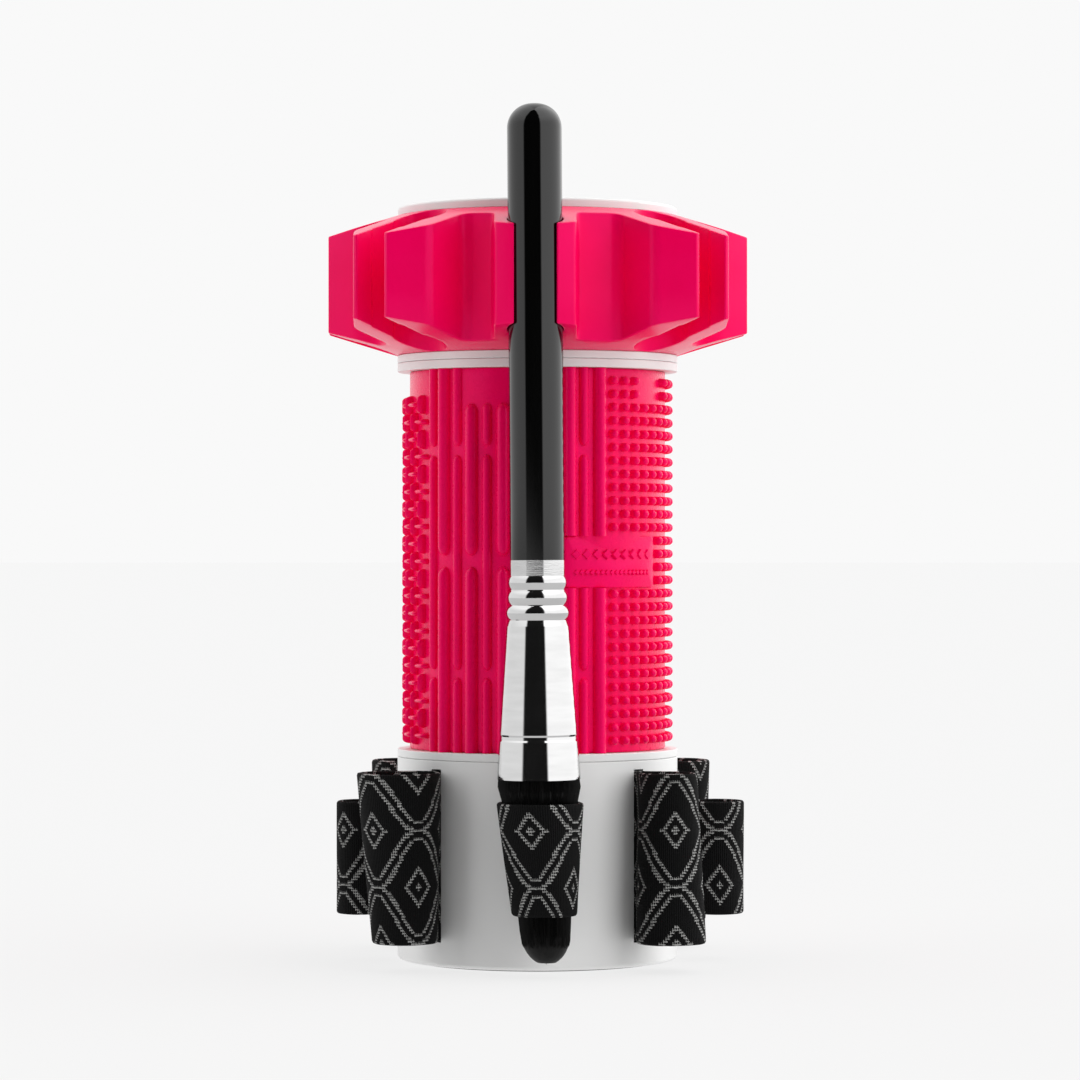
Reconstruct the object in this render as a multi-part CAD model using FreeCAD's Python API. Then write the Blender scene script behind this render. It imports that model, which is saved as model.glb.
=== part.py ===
import FreeCAD, Part
import math
import os

# Brush cleaning and drying tower. Millimetres, +Z up. The origin is on the ground under
# the middle of the base. The brush it holds stands at the front, which is -Y.

Vec = FreeCAD.Vector

FRONT, RIGHT, BACK, LEFT = -90, 0, 90, 180   # directions around the tower, degrees

# Base
BODY_R = 31.8            # radius of the base and of the three flanges above it
SHELL_IN_R = 29.4        # inside of the base wall
SHELL_BOTTOM = 0.4       # the wall stops short of the ground, so the pad carries the tower
SHELL_TOP = 46.2
TOP_PLATE_T = 1.6
PAD_T = 1.2
PAD_R = 28.6
FLOOR_Z = 1.3
FLOOR_T = 2.0
FLOOR_R = 29.2
BOSS_R = 3.6
BOSS_AT_R = 15.0
BOSS_TURNS = (30, 150, 270)
SCREW_R = 1.35
SCREW_HOLE_R = 1.4
SCREW_HEAD_R = 2.9
SCREW_LENGTH = 12.0
SCREW_DEPTH = 16.0       # how far the pilot holes go up into the bosses
SHELL_FOOT_EASE = 0.9    # rounding of the wall's lower edge
RIM_EASE = 0.2           # rounding of the edges where two rims meet

# Plugs and sockets that stack base, column and head
PLUG_R = 22.0
PLUG_WALL = 2.2
SOCKET_R = 22.2
SOCKET_WALL = 2.2
SOCKET_DEPTH = 10.2
PLUG_LENGTH = 9.8
STACK_GAP = 0.05
KEY_WIDTH = 4.0
KEY_HEIGHT = 1.0
KEY_GAP = 0.2
CUP_FLOOR = 1.8

# Elastic loops
BAND_T = 1.2
NECK_GAP = 0.3           # each side of the two band layers in their slot
LOOP_APEX_R = 31.9       # where the two layers part
FLAP_IN_R = 27.6         # the band's ends, folded back behind the wall
FLAP_OUT_R = 28.9
FLAP_HALF = 5.0
DRUM_OUT_R = 27.4
DRUM_IN_R = 25.2

# Column and mat
FLANGE_TOP = 48.0
COLUMN_R = 27.0
COLUMN_IN_R = 24.8
COLUMN_END = 133.4
COLUMN_CAP_TOP = 135.3
MAT_IN_R = 27.1
MAT_R = 29.0
MAT_BOTTOM = 48.05
MAT_TOP = 133.35
SUNK = 0.3               # how far the textures reach into the sheet
# Turns on the mat are degrees from the front, positive to the right.
TALL_HALF = 1.5
TALL_R = 30.8
TALL_RIBS = (-45, -30, -15, 0, 165, 180, 195)
TALL_RUNS = ((MAT_BOTTOM, 89.3), (91.7, MAT_TOP))
LOW_HALF = 1.1
LOW_R = 30.2
LOW_RIBS = (-52.5, -37.5, -22.5, -7.5, 7, 157.5, 172.5, 187.5, 202.5)
LOW_RUNS = ((MAT_BOTTOM, 64.7), (66.3, 114.1), (116.0, MAT_TOP))
PLAIN_TURNS = (-33.0, -12.0)         # the ribs here stop below a plain field
PLAIN_BOTTOM = 125.5
PLAQUE_R = 30.1
PLAQUE_TURNS = (11.5, 59.5)
PLAQUE_Z = (84.6, 96.1)
RIGHT_TALL_RIBS = (14.2, 28.1)       # these run up to the plaque from both sides
RIGHT_TALL_RUNS = ((MAT_BOTTOM, PLAQUE_Z[0]), (PLAQUE_Z[1], MAT_TOP))
RIGHT_LOW_RIB = 20.6
RIGHT_LOW_RUNS = ((MAT_BOTTOM, 64.7), (66.3, PLAQUE_Z[0]), (PLAQUE_Z[1], 114.1), (116.0, MAT_TOP))
STUD_R = 0.97
STUD_CREST_R = 30.8
STUD_PITCH = 2.96
STUD_BOTTOM = 50.7
STUD_START = 34.8
STUD_STEP = 6.15
STUD_COLUMNS = 20
STUD_ROWS = 28
BLANK_TURNS = (50.0, 68.0)           # no studs here in the top rows
BLANK_ROWS = 2
WEAVE_CREST_R = 30.8
WEAVE_START = -60.9
WEAVE_STEP = 7.5
WEAVE_COLUMNS = 12
WEAVE_BOTTOM = 51.4
WEAVE_PITCH = 3.905
WEAVE_ROWS = 20
WEAVE_LONG = 4.4
WEAVE_NARROW = 1.3

# Head and collar
HEAD_FLANGE_TOP = 137.1
HEAD_TUBE_R = 28.2
HEAD_TUBE_IN_R = 26.0
CAP_BOTTOM = 168.7
CAP_TOP = 170.7
CAP_R = 31.7
CAP_SKIRT_R = 25.8
CAP_SKIRT_END = 158.0
SNAP_Z = 160.5
SNAP_R = 0.45
COLLAR_IN_R = 28.3
COLLAR_MID_Z = 152.9
COLLAR_HUB_R = 32.0
COLLAR_HALF = 15.75      # half the height at the hub
COLLAR_SLOPE = 0.31      # height lost per millimetre outwards, top and bottom
COLLAR_TURN = 1.4        # the star sits this far round on the head; the gripping arm stays at the front
# Half outlines of the arms: (along, half width, corner radius) from the root to the lip
LONG_ARM = ((35.7, 11.9, 3.2), (46.4, 11.9, 4.5), (53.0, 5.3, 0.6))
SHORT_ARM = ((35.9, 11.3, 3.2), (40.6, 10.6, 7.0), (47.4, 5.4, 0.6))
GRIP_ARM = ((36.9, 9.0, 1.8), (45.9, 9.0, 1.5), (48.0, 4.0, 0.1))
POCKET_R = 6.0
POCKET_AT_R = 37.8
CHANNEL_HALF = 4.8
MOUTH_HALF = 4.2         # between the beads inside the lips
BEAD_LENGTH = 4.4
GRIP_BACK_R = 5.0        # round back of the slot that the handle has spread
GRIP_BACK_AT_R = 36.8
CUT_LOW = 130.0          # heights that clear the collar, for its cutting tools
CUT_HIGH = 176.0
CONE_OUT_R = 60.0

# Brush
BRUSH_AT_R = 43.3
LEAN = 0.4               # degrees that the held brush leans to the left, seen from the front
LEAN_Z = 90.0            # height at which its axis crosses the tower's middle plane
BRISTLE_LEAN = 2.0       # the bristles bend back to the right by this much
HANDLE_R = 5.95
HANDLE_BOTTOM = 90.8
HANDLE_TOP = 190.0
TENON_R = 5.4
TENON_BOTTOM = 72.0
GRIP_GAP = 0.3
FERRULE_WALL = 0.45
MOUTH_Z = 43.3
TIP_Z = 2.9
KNOT_BOTTOM = 55.0
KNOT_TOP = 69.5
ROOT_GAP = 0.4           # below the knot, so that the bent bundle clears it
ROOT_PLAY = 0.6          # inside the ferrule at the knot
MOUTH_PLAY = 0.15        # inside the ferrule at its mouth
FERRULE_IN_R = 5.45
CONE_TOP_Z = 76.5
CONE_TOP_R = 6.8
CONE_MOUTH_R = 9.15
CONE_RISE = (CONE_MOUTH_R - CONE_TOP_R) / (CONE_TOP_Z - MOUTH_Z)
FERRULE_BEADS = (        # radius at the bead's ends, top, bottom, how far it stands out
    (6.0, 87.4, 84.4, 0.4),
    (6.1, 84.1, 81.1, 0.45),
    (6.35, 80.8, 77.8, 0.55),
)
FERRULE_CRIMP = ((53.0, 0.0), (52.6, 0.2), (51.9, 0.2), (51.5, 0.0))   # height, depth
BRISTLE_TAPER = [(8.0, 38.4), (6.9, 26.0), (5.7, 13.7), (5.3, 10.0), (4.4, 6.0), (2.6, 3.6)]


def disc(radius, z0, z1):
    return Part.makeCylinder(radius, z1 - z0, Vec(0, 0, z0))


def eased_disc(radius, z0, z1, ease_low, ease_high):
    """A disc with its lower and upper edges rounded."""
    solid = disc(radius, z0, z1)
    for z, ease in ((z0, ease_low), (z1, ease_high)):
        edges = [e for e in solid.Edges if abs(e.BoundBox.ZMin - z) + abs(e.BoundBox.ZMax - z) < 1e-6]
        solid = solid.makeFillet(ease, edges)
    return solid


def tube(inner, outer, z0, z1):
    return disc(outer, z0, z1).cut(disc(inner, z0 - 1, z1 + 1))


def box(x0, x1, y0, y1, z0, z1):
    return Part.makeBox(x1 - x0, y1 - y0, z1 - z0, Vec(x0, y0, z0))


def turned(shape, degrees):
    copy = shape.copy()
    copy.rotate(Vec(0, 0, 0), Vec(0, 0, 1), degrees)
    return copy


def moved(shape, x, y):
    copy = shape.copy()
    copy.translate(Vec(x, y, 0))
    return copy


def joined(first, *others):
    return first.fuse(list(others)).removeSplitter()


def revolved(profile):
    """A solid turned about Z from (radius, z) corners."""
    wire = Part.makePolygon([Vec(r, 0, z) for r, z in profile + profile[:1]])
    return Part.Face(wire).revolve(Vec(0, 0, 0), Vec(0, 0, 1), 360)


def tilted(shape, centre, degrees):
    copy = shape.copy()
    copy.rotate(centre, Vec(0, 1, 0), degrees)
    return copy


def on_brush_axis(shape):
    """Takes a shape made about Z to the held brush's leaning axis."""
    return tilted(moved(shape, 0, -BRUSH_AT_R), Vec(0, -BRUSH_AT_R, LEAN_Z), -LEAN)


def save(node, shape):
    shape.exportStep(os.path.join("parts", node + ".step"))


# ---- plugs, sockets and keys ----

def socket_cup(rim_z):
    """A closed cup that hangs below a rim, with a groove for the plug's key at the back."""
    floor_z = rim_z - SOCKET_DEPTH
    cup = disc(SOCKET_R + SOCKET_WALL, floor_z - CUP_FLOOR, rim_z)
    return cup.cut(socket_hole(rim_z))


def socket_hole(rim_z):
    floor_z = rim_z - SOCKET_DEPTH
    half = KEY_WIDTH / 2 + KEY_GAP
    hole = disc(SOCKET_R, floor_z, rim_z + 1)
    groove = box(-half, half, SOCKET_R - 1, SOCKET_R + KEY_HEIGHT + KEY_GAP, floor_z, rim_z + 1)
    return hole.fuse(groove)


def keyed_plug(rim_z):
    """A tube that hangs below a rim and carries the key."""
    end_z = rim_z - PLUG_LENGTH
    half = KEY_WIDTH / 2
    key = box(-half, half, PLUG_R - 1, PLUG_R + KEY_HEIGHT, end_z + 1, rim_z)
    return tube(PLUG_R - PLUG_WALL, PLUG_R, end_z, rim_z).fuse(key)


# ---- elastic loops ----

class Loop:
    """One loop: its direction, its heights, and a circle (out, across, radius) per end."""

    def __init__(self, node, turn, bottom, top, circle_bottom, circle_top):
        self.node = node
        self.turn = turn
        self.bottom = bottom
        self.top = top
        self.circles = (circle_bottom, circle_top)


SHORT_Z = (10.5, 36.1)
TALL_Z = (6.3, 43.9)
FRONT_Z = (13.7, 38.2)
LOOPS = (
    Loop("loop_short_front", FRONT, *FRONT_Z, (BRUSH_AT_R, 1.55, 7.2), (BRUSH_AT_R, 0.55, 9.5)),
    Loop("loop_short_right", RIGHT, *SHORT_Z, (40.3, 0.4, 6.7), (40.3, 0, 6.6)),
    Loop("loop_short_back", BACK, *SHORT_Z, (40.0, 0, 6.5), (40.0, 0.3, 6.5)),
    Loop("loop_short_left", LEFT, *SHORT_Z, (39.5, 0, 6.3), (39.5, 0.3, 6.1)),
    Loop("loop_tall_front_right", -45, *TALL_Z, (41.6, 0, 7.7), (41.0, 0, 6.4)),
    Loop("loop_tall_back_right", 45, *TALL_Z, (42.4, -1.0, 8.6), (43.0, -1.5, 9.0)),
    Loop("loop_tall_back_left", 135, *TALL_Z, (42.0, 0.4, 8.0), (42.4, 0.8, 8.4)),
    Loop("loop_tall_front_left", -135, *TALL_Z, (41.0, -0.4, 7.3), (42.0, -1.2, 9.3)),
)


def teardrop(circle, inset, z):
    """A drop outline: two straight runs from a point near the wall, closed by an arc."""
    out, across, radius = circle
    reach = math.hypot(out - LOOP_APEX_R, across)
    lean = math.atan2(across, out - LOOP_APEX_R)
    spread = math.asin(radius / reach)
    start = inset / math.sin(spread)
    apex = Vec(LOOP_APEX_R + start * math.cos(lean), start * math.sin(lean), z)
    arc_r = radius - inset
    ends = []
    for side in (1, -1):
        angle = lean + side * (math.pi / 2 + spread)
        ends.append(Vec(out + arc_r * math.cos(angle), across + arc_r * math.sin(angle), z))
    far = Vec(out + arc_r * math.cos(lean), across + arc_r * math.sin(lean), z)
    edges = [
        Part.LineSegment(apex, ends[0]).toShape(),
        Part.Arc(ends[0], far, ends[1]).toShape(),
        Part.LineSegment(ends[1], apex).toShape(),
    ]
    return Part.Wire(edges)


def drop_solid(loop, inset, overrun):
    """The drop's solid between the loop's ends; overrun carries it past both."""
    low = teardrop(loop.circles[0], inset, loop.bottom)
    high = teardrop(loop.circles[1], inset, loop.top)
    body = Part.makeLoft([low, high], True, True)
    if not overrun:
        return body
    below = Part.Face(low).extrude(Vec(0, 0, -overrun))
    above = Part.Face(high).extrude(Vec(0, 0, overrun))
    return joined(body, below, above)


def elastic_loop(loop):
    """Band, its doubled neck through the wall, and the ends folded back behind it."""
    band = drop_solid(loop, 0, 0).cut(drop_solid(loop, BAND_T, 1))
    neck = box(FLAP_IN_R, LOOP_APEX_R + 1.0, -BAND_T, BAND_T, loop.bottom, loop.top)
    neck = neck.cut(drop_solid(loop, BAND_T, 1))
    flaps = box(FLAP_IN_R, FLAP_OUT_R, -FLAP_HALF, FLAP_HALF, loop.bottom, loop.top)
    return turned(joined(band, neck, flaps), loop.turn)


def wall_slot(loop):
    half = BAND_T + NECK_GAP
    low = loop.bottom - 0.4
    high = min(loop.top + 0.4, SHELL_TOP - TOP_PLATE_T)
    return turned(box(SHELL_IN_R - 2, BODY_R + 2, -half, half, low, high), loop.turn)


# ---- base ----

def base_shell():
    wall = eased_disc(BODY_R, SHELL_BOTTOM, SHELL_TOP, SHELL_FOOT_EASE, RIM_EASE)
    wall = wall.cut(disc(SHELL_IN_R, SHELL_BOTTOM - 1, SHELL_TOP - TOP_PLATE_T))
    wall = wall.cut(socket_hole(SHELL_TOP))
    cup = socket_cup(SHELL_TOP)
    cup_floor = SHELL_TOP - SOCKET_DEPTH - CUP_FLOOR
    bosses = [boss(turn, FLOOR_Z + FLOOR_T, cup_floor) for turn in BOSS_TURNS]
    shell = joined(wall, cup, *bosses)
    holes = [screw_space(turn, SCREW_HOLE_R, FLOOR_Z, FLOOR_Z + SCREW_DEPTH) for turn in BOSS_TURNS]
    return shell.cut(holes + [wall_slot(loop) for loop in LOOPS])


def boss(turn, z0, z1):
    return turned(moved(disc(BOSS_R, z0, z1 + 0.5), BOSS_AT_R, 0), turn)


def screw_space(turn, radius, z0, z1):
    return turned(moved(disc(radius, z0, z1), BOSS_AT_R, 0), turn)


def base_floor():
    plate = disc(FLOOR_R, FLOOR_Z, FLOOR_Z + FLOOR_T)
    heads = [screw_space(turn, SCREW_HEAD_R + 0.3, FLOOR_Z - 1, FLOOR_Z + 1) for turn in BOSS_TURNS]
    shanks = [screw_space(turn, SCREW_R + 0.25, 0, 9) for turn in BOSS_TURNS]
    return plate.cut(heads + shanks)


def floor_screws():
    head = disc(SCREW_HEAD_R, FLOOR_Z + 0.05, FLOOR_Z + 0.95)
    shank = disc(SCREW_R, FLOOR_Z + 0.9, FLOOR_Z + 0.9 + SCREW_LENGTH)
    recess = box(-1.6, 1.6, -0.4, 0.4, 0, FLOOR_Z + 0.5)
    cross = recess.fuse(turned(recess, 90))
    screw = moved(joined(head, shank).cut(cross), BOSS_AT_R, 0)
    return Part.makeCompound([turned(screw, turn) for turn in BOSS_TURNS])


def anchor_drum():
    """The drum behind the wall that presses the folded band ends against it."""
    return tube(DRUM_IN_R, DRUM_OUT_R, FLOOR_Z + FLOOR_T + 0.05, SHELL_TOP - TOP_PLATE_T - 0.2)


# ---- column ----

def column_body():
    flange = eased_disc(BODY_R, SHELL_TOP + STACK_GAP, FLANGE_TOP, RIM_EASE, RIM_EASE)
    barrel = tube(COLUMN_IN_R, COLUMN_R, FLANGE_TOP - 0.5, COLUMN_END)
    return joined(flange, barrel, keyed_plug(SHELL_TOP + STACK_GAP + 0.5))


def column_cap():
    rim = eased_disc(BODY_R, COLUMN_END, COLUMN_CAP_TOP, RIM_EASE, RIM_EASE)
    rim = rim.cut(socket_hole(COLUMN_CAP_TOP))
    return joined(rim, socket_cup(COLUMN_CAP_TOP))


def sector(inner, outer, turn0, turn1, z0, z1):
    """A block of a ring between two directions."""
    corners = [(inner, z0), (outer, z0), (outer, z1), (inner, z1), (inner, z0)]
    face = Part.Face(Part.makePolygon([Vec(r, 0, z) for r, z in corners]))
    block = face.revolve(Vec(0, 0, 0), Vec(0, 0, 1), turn1 - turn0)
    return turned(block, FRONT + turn0)


def bar_on_mat(turn, wide, crest_r, z0, z1):
    """An upright block on the mat, square in plan to the direction it faces."""
    block = box(MAT_R - SUNK, crest_r, -wide / 2, wide / 2, z0, z1)
    return turned(block, FRONT + turn)


def rib_row(turns, half, crest_r, runs):
    """Ribs at these turns, each broken into the same runs and kept out of the plain field."""
    bars = []
    for turn in turns:
        limit = PLAIN_BOTTOM if PLAIN_TURNS[0] < turn < PLAIN_TURNS[1] else MAT_TOP
        bars += [bar_on_mat(turn, 2 * half, crest_r, z0, min(z1, limit)) for z0, z1 in runs]
    return bars


def ribs():
    bars = rib_row(TALL_RIBS, TALL_HALF, TALL_R, TALL_RUNS)
    bars += rib_row(LOW_RIBS, LOW_HALF, LOW_R, LOW_RUNS)
    bars += rib_row(RIGHT_TALL_RIBS, TALL_HALF, TALL_R, RIGHT_TALL_RUNS)
    bars += rib_row([RIGHT_LOW_RIB], LOW_HALF, LOW_R, RIGHT_LOW_RUNS)
    return bars


def stud_is_left_out(turn, row, z):
    on_plaque = turn < PLAQUE_TURNS[1] and PLAQUE_Z[0] - STUD_R < z < PLAQUE_Z[1] + STUD_R
    on_blank = BLANK_TURNS[0] < turn < BLANK_TURNS[1] and row >= STUD_ROWS - BLANK_ROWS
    return on_plaque or on_blank


def studs():
    """Round studs in a square grid, with gaps for the plaque and the blank field."""
    pegs = []
    length = STUD_CREST_R - MAT_R + SUNK
    for column in range(STUD_COLUMNS):
        turn = STUD_START + column * STUD_STEP
        for row in range(STUD_ROWS):
            z = STUD_BOTTOM + row * STUD_PITCH
            if not stud_is_left_out(turn, row, z):
                peg = Part.makeCylinder(STUD_R, length, Vec(MAT_R - SUNK, 0, z), Vec(1, 0, 0))
                pegs.append(turned(peg, FRONT + turn))
    return pegs


def weave():
    """A basket weave: level and upright bars that take turns in every column."""
    bars = []
    for column in range(WEAVE_COLUMNS):
        turn = WEAVE_START - column * WEAVE_STEP
        for row in range(WEAVE_ROWS):
            z = WEAVE_BOTTOM + row * WEAVE_PITCH
            level = (column + row) % 2 == 0
            wide, tall = (WEAVE_LONG, WEAVE_NARROW) if level else (WEAVE_NARROW, WEAVE_LONG)
            bars.append(bar_on_mat(turn, wide, WEAVE_CREST_R, z - tall / 2, z + tall / 2))
    return bars


def cleaning_mat():
    sheet = tube(MAT_IN_R, MAT_R, MAT_BOTTOM, MAT_TOP)
    plaque = sector(MAT_R - SUNK, PLAQUE_R, *PLAQUE_TURNS, *PLAQUE_Z)
    return sheet.fuse([plaque] + ribs() + studs() + weave())


# ---- head ----

def head_core():
    flange_z = COLUMN_CAP_TOP + STACK_GAP
    flange = eased_disc(BODY_R, flange_z, HEAD_FLANGE_TOP, RIM_EASE, RIM_EASE)
    barrel = tube(HEAD_TUBE_IN_R, HEAD_TUBE_R, HEAD_FLANGE_TOP - 0.5, CAP_BOTTOM - 0.1)
    core = joined(flange, barrel, keyed_plug(flange_z + 0.5))
    return core.cut(Part.makeTorus(HEAD_TUBE_IN_R, SNAP_R + 0.3, Vec(0, 0, SNAP_Z)))


def head_cap():
    top = disc(CAP_R, CAP_BOTTOM, CAP_TOP)
    rim = [e for e in top.Edges if abs(e.BoundBox.ZMin - CAP_TOP) < 1e-6]
    top = top.makeFillet(0.7, rim)
    skirt = tube(CAP_SKIRT_R - 2.0, CAP_SKIRT_R, CAP_SKIRT_END, CAP_BOTTOM + 0.5)
    bead = Part.makeTorus(CAP_SKIRT_R, SNAP_R, Vec(0, 0, SNAP_Z))
    return joined(top, skirt.fuse(bead))


def empty_slot(reach):
    """The slot of an arm with no handle in it: round pocket, channel and narrower mouth."""
    pocket = moved(disc(POCKET_R, CUT_LOW, CUT_HIGH), POCKET_AT_R, 0)
    channel_end = reach - BEAD_LENGTH
    channel = box(POCKET_AT_R, channel_end, -CHANNEL_HALF, CHANNEL_HALF, CUT_LOW, CUT_HIGH)
    mouth = box(POCKET_AT_R, reach + 5, -MOUTH_HALF, MOUTH_HALF, CUT_LOW, CUT_HIGH)
    return pocket.fuse([channel, mouth])


def grip_slot():
    """The front slot, spread by the brush handle and leaning with it."""
    round_handle = moved(disc(HANDLE_R + GRIP_GAP, CUT_LOW, CUT_HIGH), BRUSH_AT_R, 0)
    back = moved(disc(GRIP_BACK_R, CUT_LOW, CUT_HIGH), GRIP_BACK_AT_R, 0)
    channel = box(GRIP_BACK_AT_R, BRUSH_AT_R, -GRIP_BACK_R, GRIP_BACK_R, CUT_LOW, CUT_HIGH)
    upright = turned(round_handle.fuse([back, channel]), FRONT)
    return tilted(upright, Vec(0, -BRUSH_AT_R, LEAN_Z), -LEAN)


def collar_envelope():
    """The two cones that shape the arms' top and bottom."""
    fall = COLLAR_SLOPE * (CONE_OUT_R - COLLAR_HUB_R)
    top = COLLAR_MID_Z + COLLAR_HALF
    low = COLLAR_MID_Z - COLLAR_HALF
    profile = [(0, low), (COLLAR_HUB_R, low), (CONE_OUT_R, low + fall), (CONE_OUT_R, top - fall)]
    return revolved(profile + [(COLLAR_HUB_R, top), (0, top)])


def arm_corners(half_outline, turn, shift):
    """The whole outline of one arm as (x, y, radius) corners; shift moves it sideways."""
    sides = [(along, -half + shift, radius) for along, half, radius in half_outline]
    sides += [(along, half + shift, radius) for along, half, radius in reversed(half_outline)]
    c, s = math.cos(math.radians(turn)), math.sin(math.radians(turn))
    return [(x * c - y * s, x * s + y * c, radius) for x, y, radius in sides]


def rounded_wire(corners):
    """A closed wire through (x, y, radius) corners, with every corner rounded."""
    edges = []
    ends = []
    for i, (x, y, radius) in enumerate(corners):
        here = Vec(x, y, 0)
        ahead_x, ahead_y, _ = corners[(i + 1) % len(corners)]
        back = (Vec(corners[i - 1][0], corners[i - 1][1], 0) - here).normalize()
        ahead = (Vec(ahead_x, ahead_y, 0) - here).normalize()
        half = back.getAngle(ahead) / 2
        run = radius / math.tan(half)
        inwards = (back + ahead).normalize()
        middle = here + inwards * (radius / math.sin(half) - radius)
        start, end = here + back * run, here + ahead * run
        edges.append(Part.Arc(start, middle, end).toShape())
        ends.append((start, end))
    for (_, end), (start, _) in zip(ends, ends[1:] + ends[:1]):
        edges.append(Part.LineSegment(end, start).toShape())
    return Part.Wire(Part.__sortEdges__(edges))


def collar():
    """The soft star: eight arms, each with a slot that grips a brush handle."""
    sideways = -(COLLAR_MID_Z - LEAN_Z) * math.tan(math.radians(LEAN))
    corners = arm_corners(GRIP_ARM, FRONT, sideways)
    slots = [grip_slot()]
    for place in range(1, 8):
        turn = FRONT + 45 * place + COLLAR_TURN
        half_outline = LONG_ARM if place % 2 else SHORT_ARM
        corners += arm_corners(half_outline, turn, 0)
        slots.append(turned(empty_slot(half_outline[-1][0]), turn))
    star = Part.Face(rounded_wire(corners)).extrude(Vec(0, 0, CUT_HIGH - CUT_LOW))
    star.translate(Vec(0, 0, CUT_LOW))
    star = star.common(collar_envelope())
    return star.cut([disc(COLLAR_IN_R, CUT_LOW, CUT_HIGH)] + slots)


# ---- brush ----

def brush_handle():
    body = disc(HANDLE_R, HANDLE_BOTTOM + 0.05, HANDLE_TOP)
    top_edge = [e for e in body.Edges if abs(e.BoundBox.ZMin - HANDLE_TOP) < 1e-6]
    body = body.makeFillet(HANDLE_R - 0.6, top_edge)
    return on_brush_axis(joined(body, disc(TENON_R, TENON_BOTTOM, HANDLE_BOTTOM + 1)))


def inner_cone_r(z):
    share = (CONE_TOP_Z - z) / (CONE_TOP_Z - MOUTH_Z)
    return CONE_TOP_R + share * (CONE_MOUTH_R - CONE_TOP_R) - FERRULE_WALL


def line(a, b):
    return Part.LineSegment(Vec(a[0], 0, a[1]), Vec(b[0], 0, b[1])).toShape()


def bulge(a, b, out):
    middle = Vec(max(a[0], b[0]) + out, 0, (a[1] + b[1]) / 2)
    return Part.Arc(Vec(a[0], 0, a[1]), middle, Vec(b[0], 0, b[1])).toShape()


def brush_ferrule():
    """Thin metal tube: straight collar, three beads, a groove and a flared cone."""
    edges = [line((FERRULE_IN_R, HANDLE_BOTTOM), (6.0, HANDLE_BOTTOM))]
    here = (6.0, HANDLE_BOTTOM)
    for edge_r, top, bottom, out in FERRULE_BEADS:
        edges.append(line(here, (edge_r, top)))
        edges.append(bulge((edge_r, top), (edge_r, bottom), out))
        here = (edge_r, bottom)
    crimp = [(CONE_TOP_R + (CONE_TOP_Z - z) * CONE_RISE - depth, z) for z, depth in FERRULE_CRIMP]
    outside = [here, (CONE_TOP_R, CONE_TOP_Z)] + crimp + [(CONE_MOUTH_R, MOUTH_Z)]
    inside = [(inner_cone_r(MOUTH_Z), MOUTH_Z), (inner_cone_r(CONE_TOP_Z), CONE_TOP_Z)]
    inside += [(FERRULE_IN_R, CONE_TOP_Z + 1.5), (FERRULE_IN_R, HANDLE_BOTTOM)]
    corners = outside + inside
    edges += [line(a, b) for a, b in zip(corners, corners[1:])]
    face = Part.Face(Part.Wire(Part.__sortEdges__(edges)))
    return on_brush_axis(face.revolve(Vec(0, 0, 0), Vec(0, 0, 1), 360))


def brush_knot():
    """The set glue that holds the roots of the bristles."""
    low = inner_cone_r(KNOT_BOTTOM) - 0.05
    high = inner_cone_r(KNOT_TOP) - 0.05
    return on_brush_axis(revolved([(0, KNOT_BOTTOM), (low, KNOT_BOTTOM), (high, KNOT_TOP), (0, KNOT_TOP)]))


def brush_bristles():
    """The bristle bundle: pinched by the front loop, rounded to its tip, bent to the right."""
    root_z = KNOT_BOTTOM - ROOT_GAP
    roots = [(0, root_z), (inner_cone_r(root_z) - ROOT_PLAY, root_z)]
    mouth = [(inner_cone_r(MOUTH_Z) - MOUTH_PLAY, MOUTH_Z), (8.9, MOUTH_Z - 1.2), (8.7, MOUTH_Z - 3.0)]
    bundle = revolved(roots + mouth + BRISTLE_TAPER + [(0, TIP_Z)])
    return on_brush_axis(tilted(bundle, Vec(0, 0, MOUTH_Z), -BRISTLE_LEAN))


def make_parts():
    os.makedirs("parts", exist_ok=True)
    save("base_shell", base_shell())
    save("base_floor", base_floor())
    save("floor_screws", floor_screws())
    save("foot_pad", disc(PAD_R, 0, PAD_T))
    save("anchor_drum", anchor_drum())
    for loop in LOOPS:
        save(loop.node, elastic_loop(loop))
    save("column_body", column_body())
    save("column_cap", column_cap())
    save("cleaning_mat", cleaning_mat())
    save("head_core", head_core())
    save("head_cap", head_cap())
    save("collar", collar())
    save("brush_handle", brush_handle())
    save("brush_ferrule", brush_ferrule())
    save("brush_knot", brush_knot())
    save("brush_bristles", brush_bristles())


make_parts()
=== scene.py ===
import math
import random

import bmesh
import bpy
from mathutils import Matrix, Vector
from mathutils.geometry import delaunay_2d_cdt


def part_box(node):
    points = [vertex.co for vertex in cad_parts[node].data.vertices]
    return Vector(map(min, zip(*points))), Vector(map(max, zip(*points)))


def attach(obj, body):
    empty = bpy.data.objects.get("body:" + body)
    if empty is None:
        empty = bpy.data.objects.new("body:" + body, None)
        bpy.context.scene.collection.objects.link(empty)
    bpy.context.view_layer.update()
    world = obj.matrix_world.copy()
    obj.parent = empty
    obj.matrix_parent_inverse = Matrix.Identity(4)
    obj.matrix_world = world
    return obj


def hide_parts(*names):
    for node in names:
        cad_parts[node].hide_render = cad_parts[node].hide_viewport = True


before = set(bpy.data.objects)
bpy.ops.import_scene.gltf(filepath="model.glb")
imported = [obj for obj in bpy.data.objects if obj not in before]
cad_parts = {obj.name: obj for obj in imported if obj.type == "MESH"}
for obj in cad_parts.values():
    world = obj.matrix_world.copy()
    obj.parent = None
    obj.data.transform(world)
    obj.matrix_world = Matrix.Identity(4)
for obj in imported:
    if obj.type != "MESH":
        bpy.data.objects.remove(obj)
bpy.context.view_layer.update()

# A brush cleaning and drying tower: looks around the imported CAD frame. Metres, +Z up, front at -Y.

MM = 0.001
TURN = 2 * math.pi


def low(node):
    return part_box(node)[0]


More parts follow.
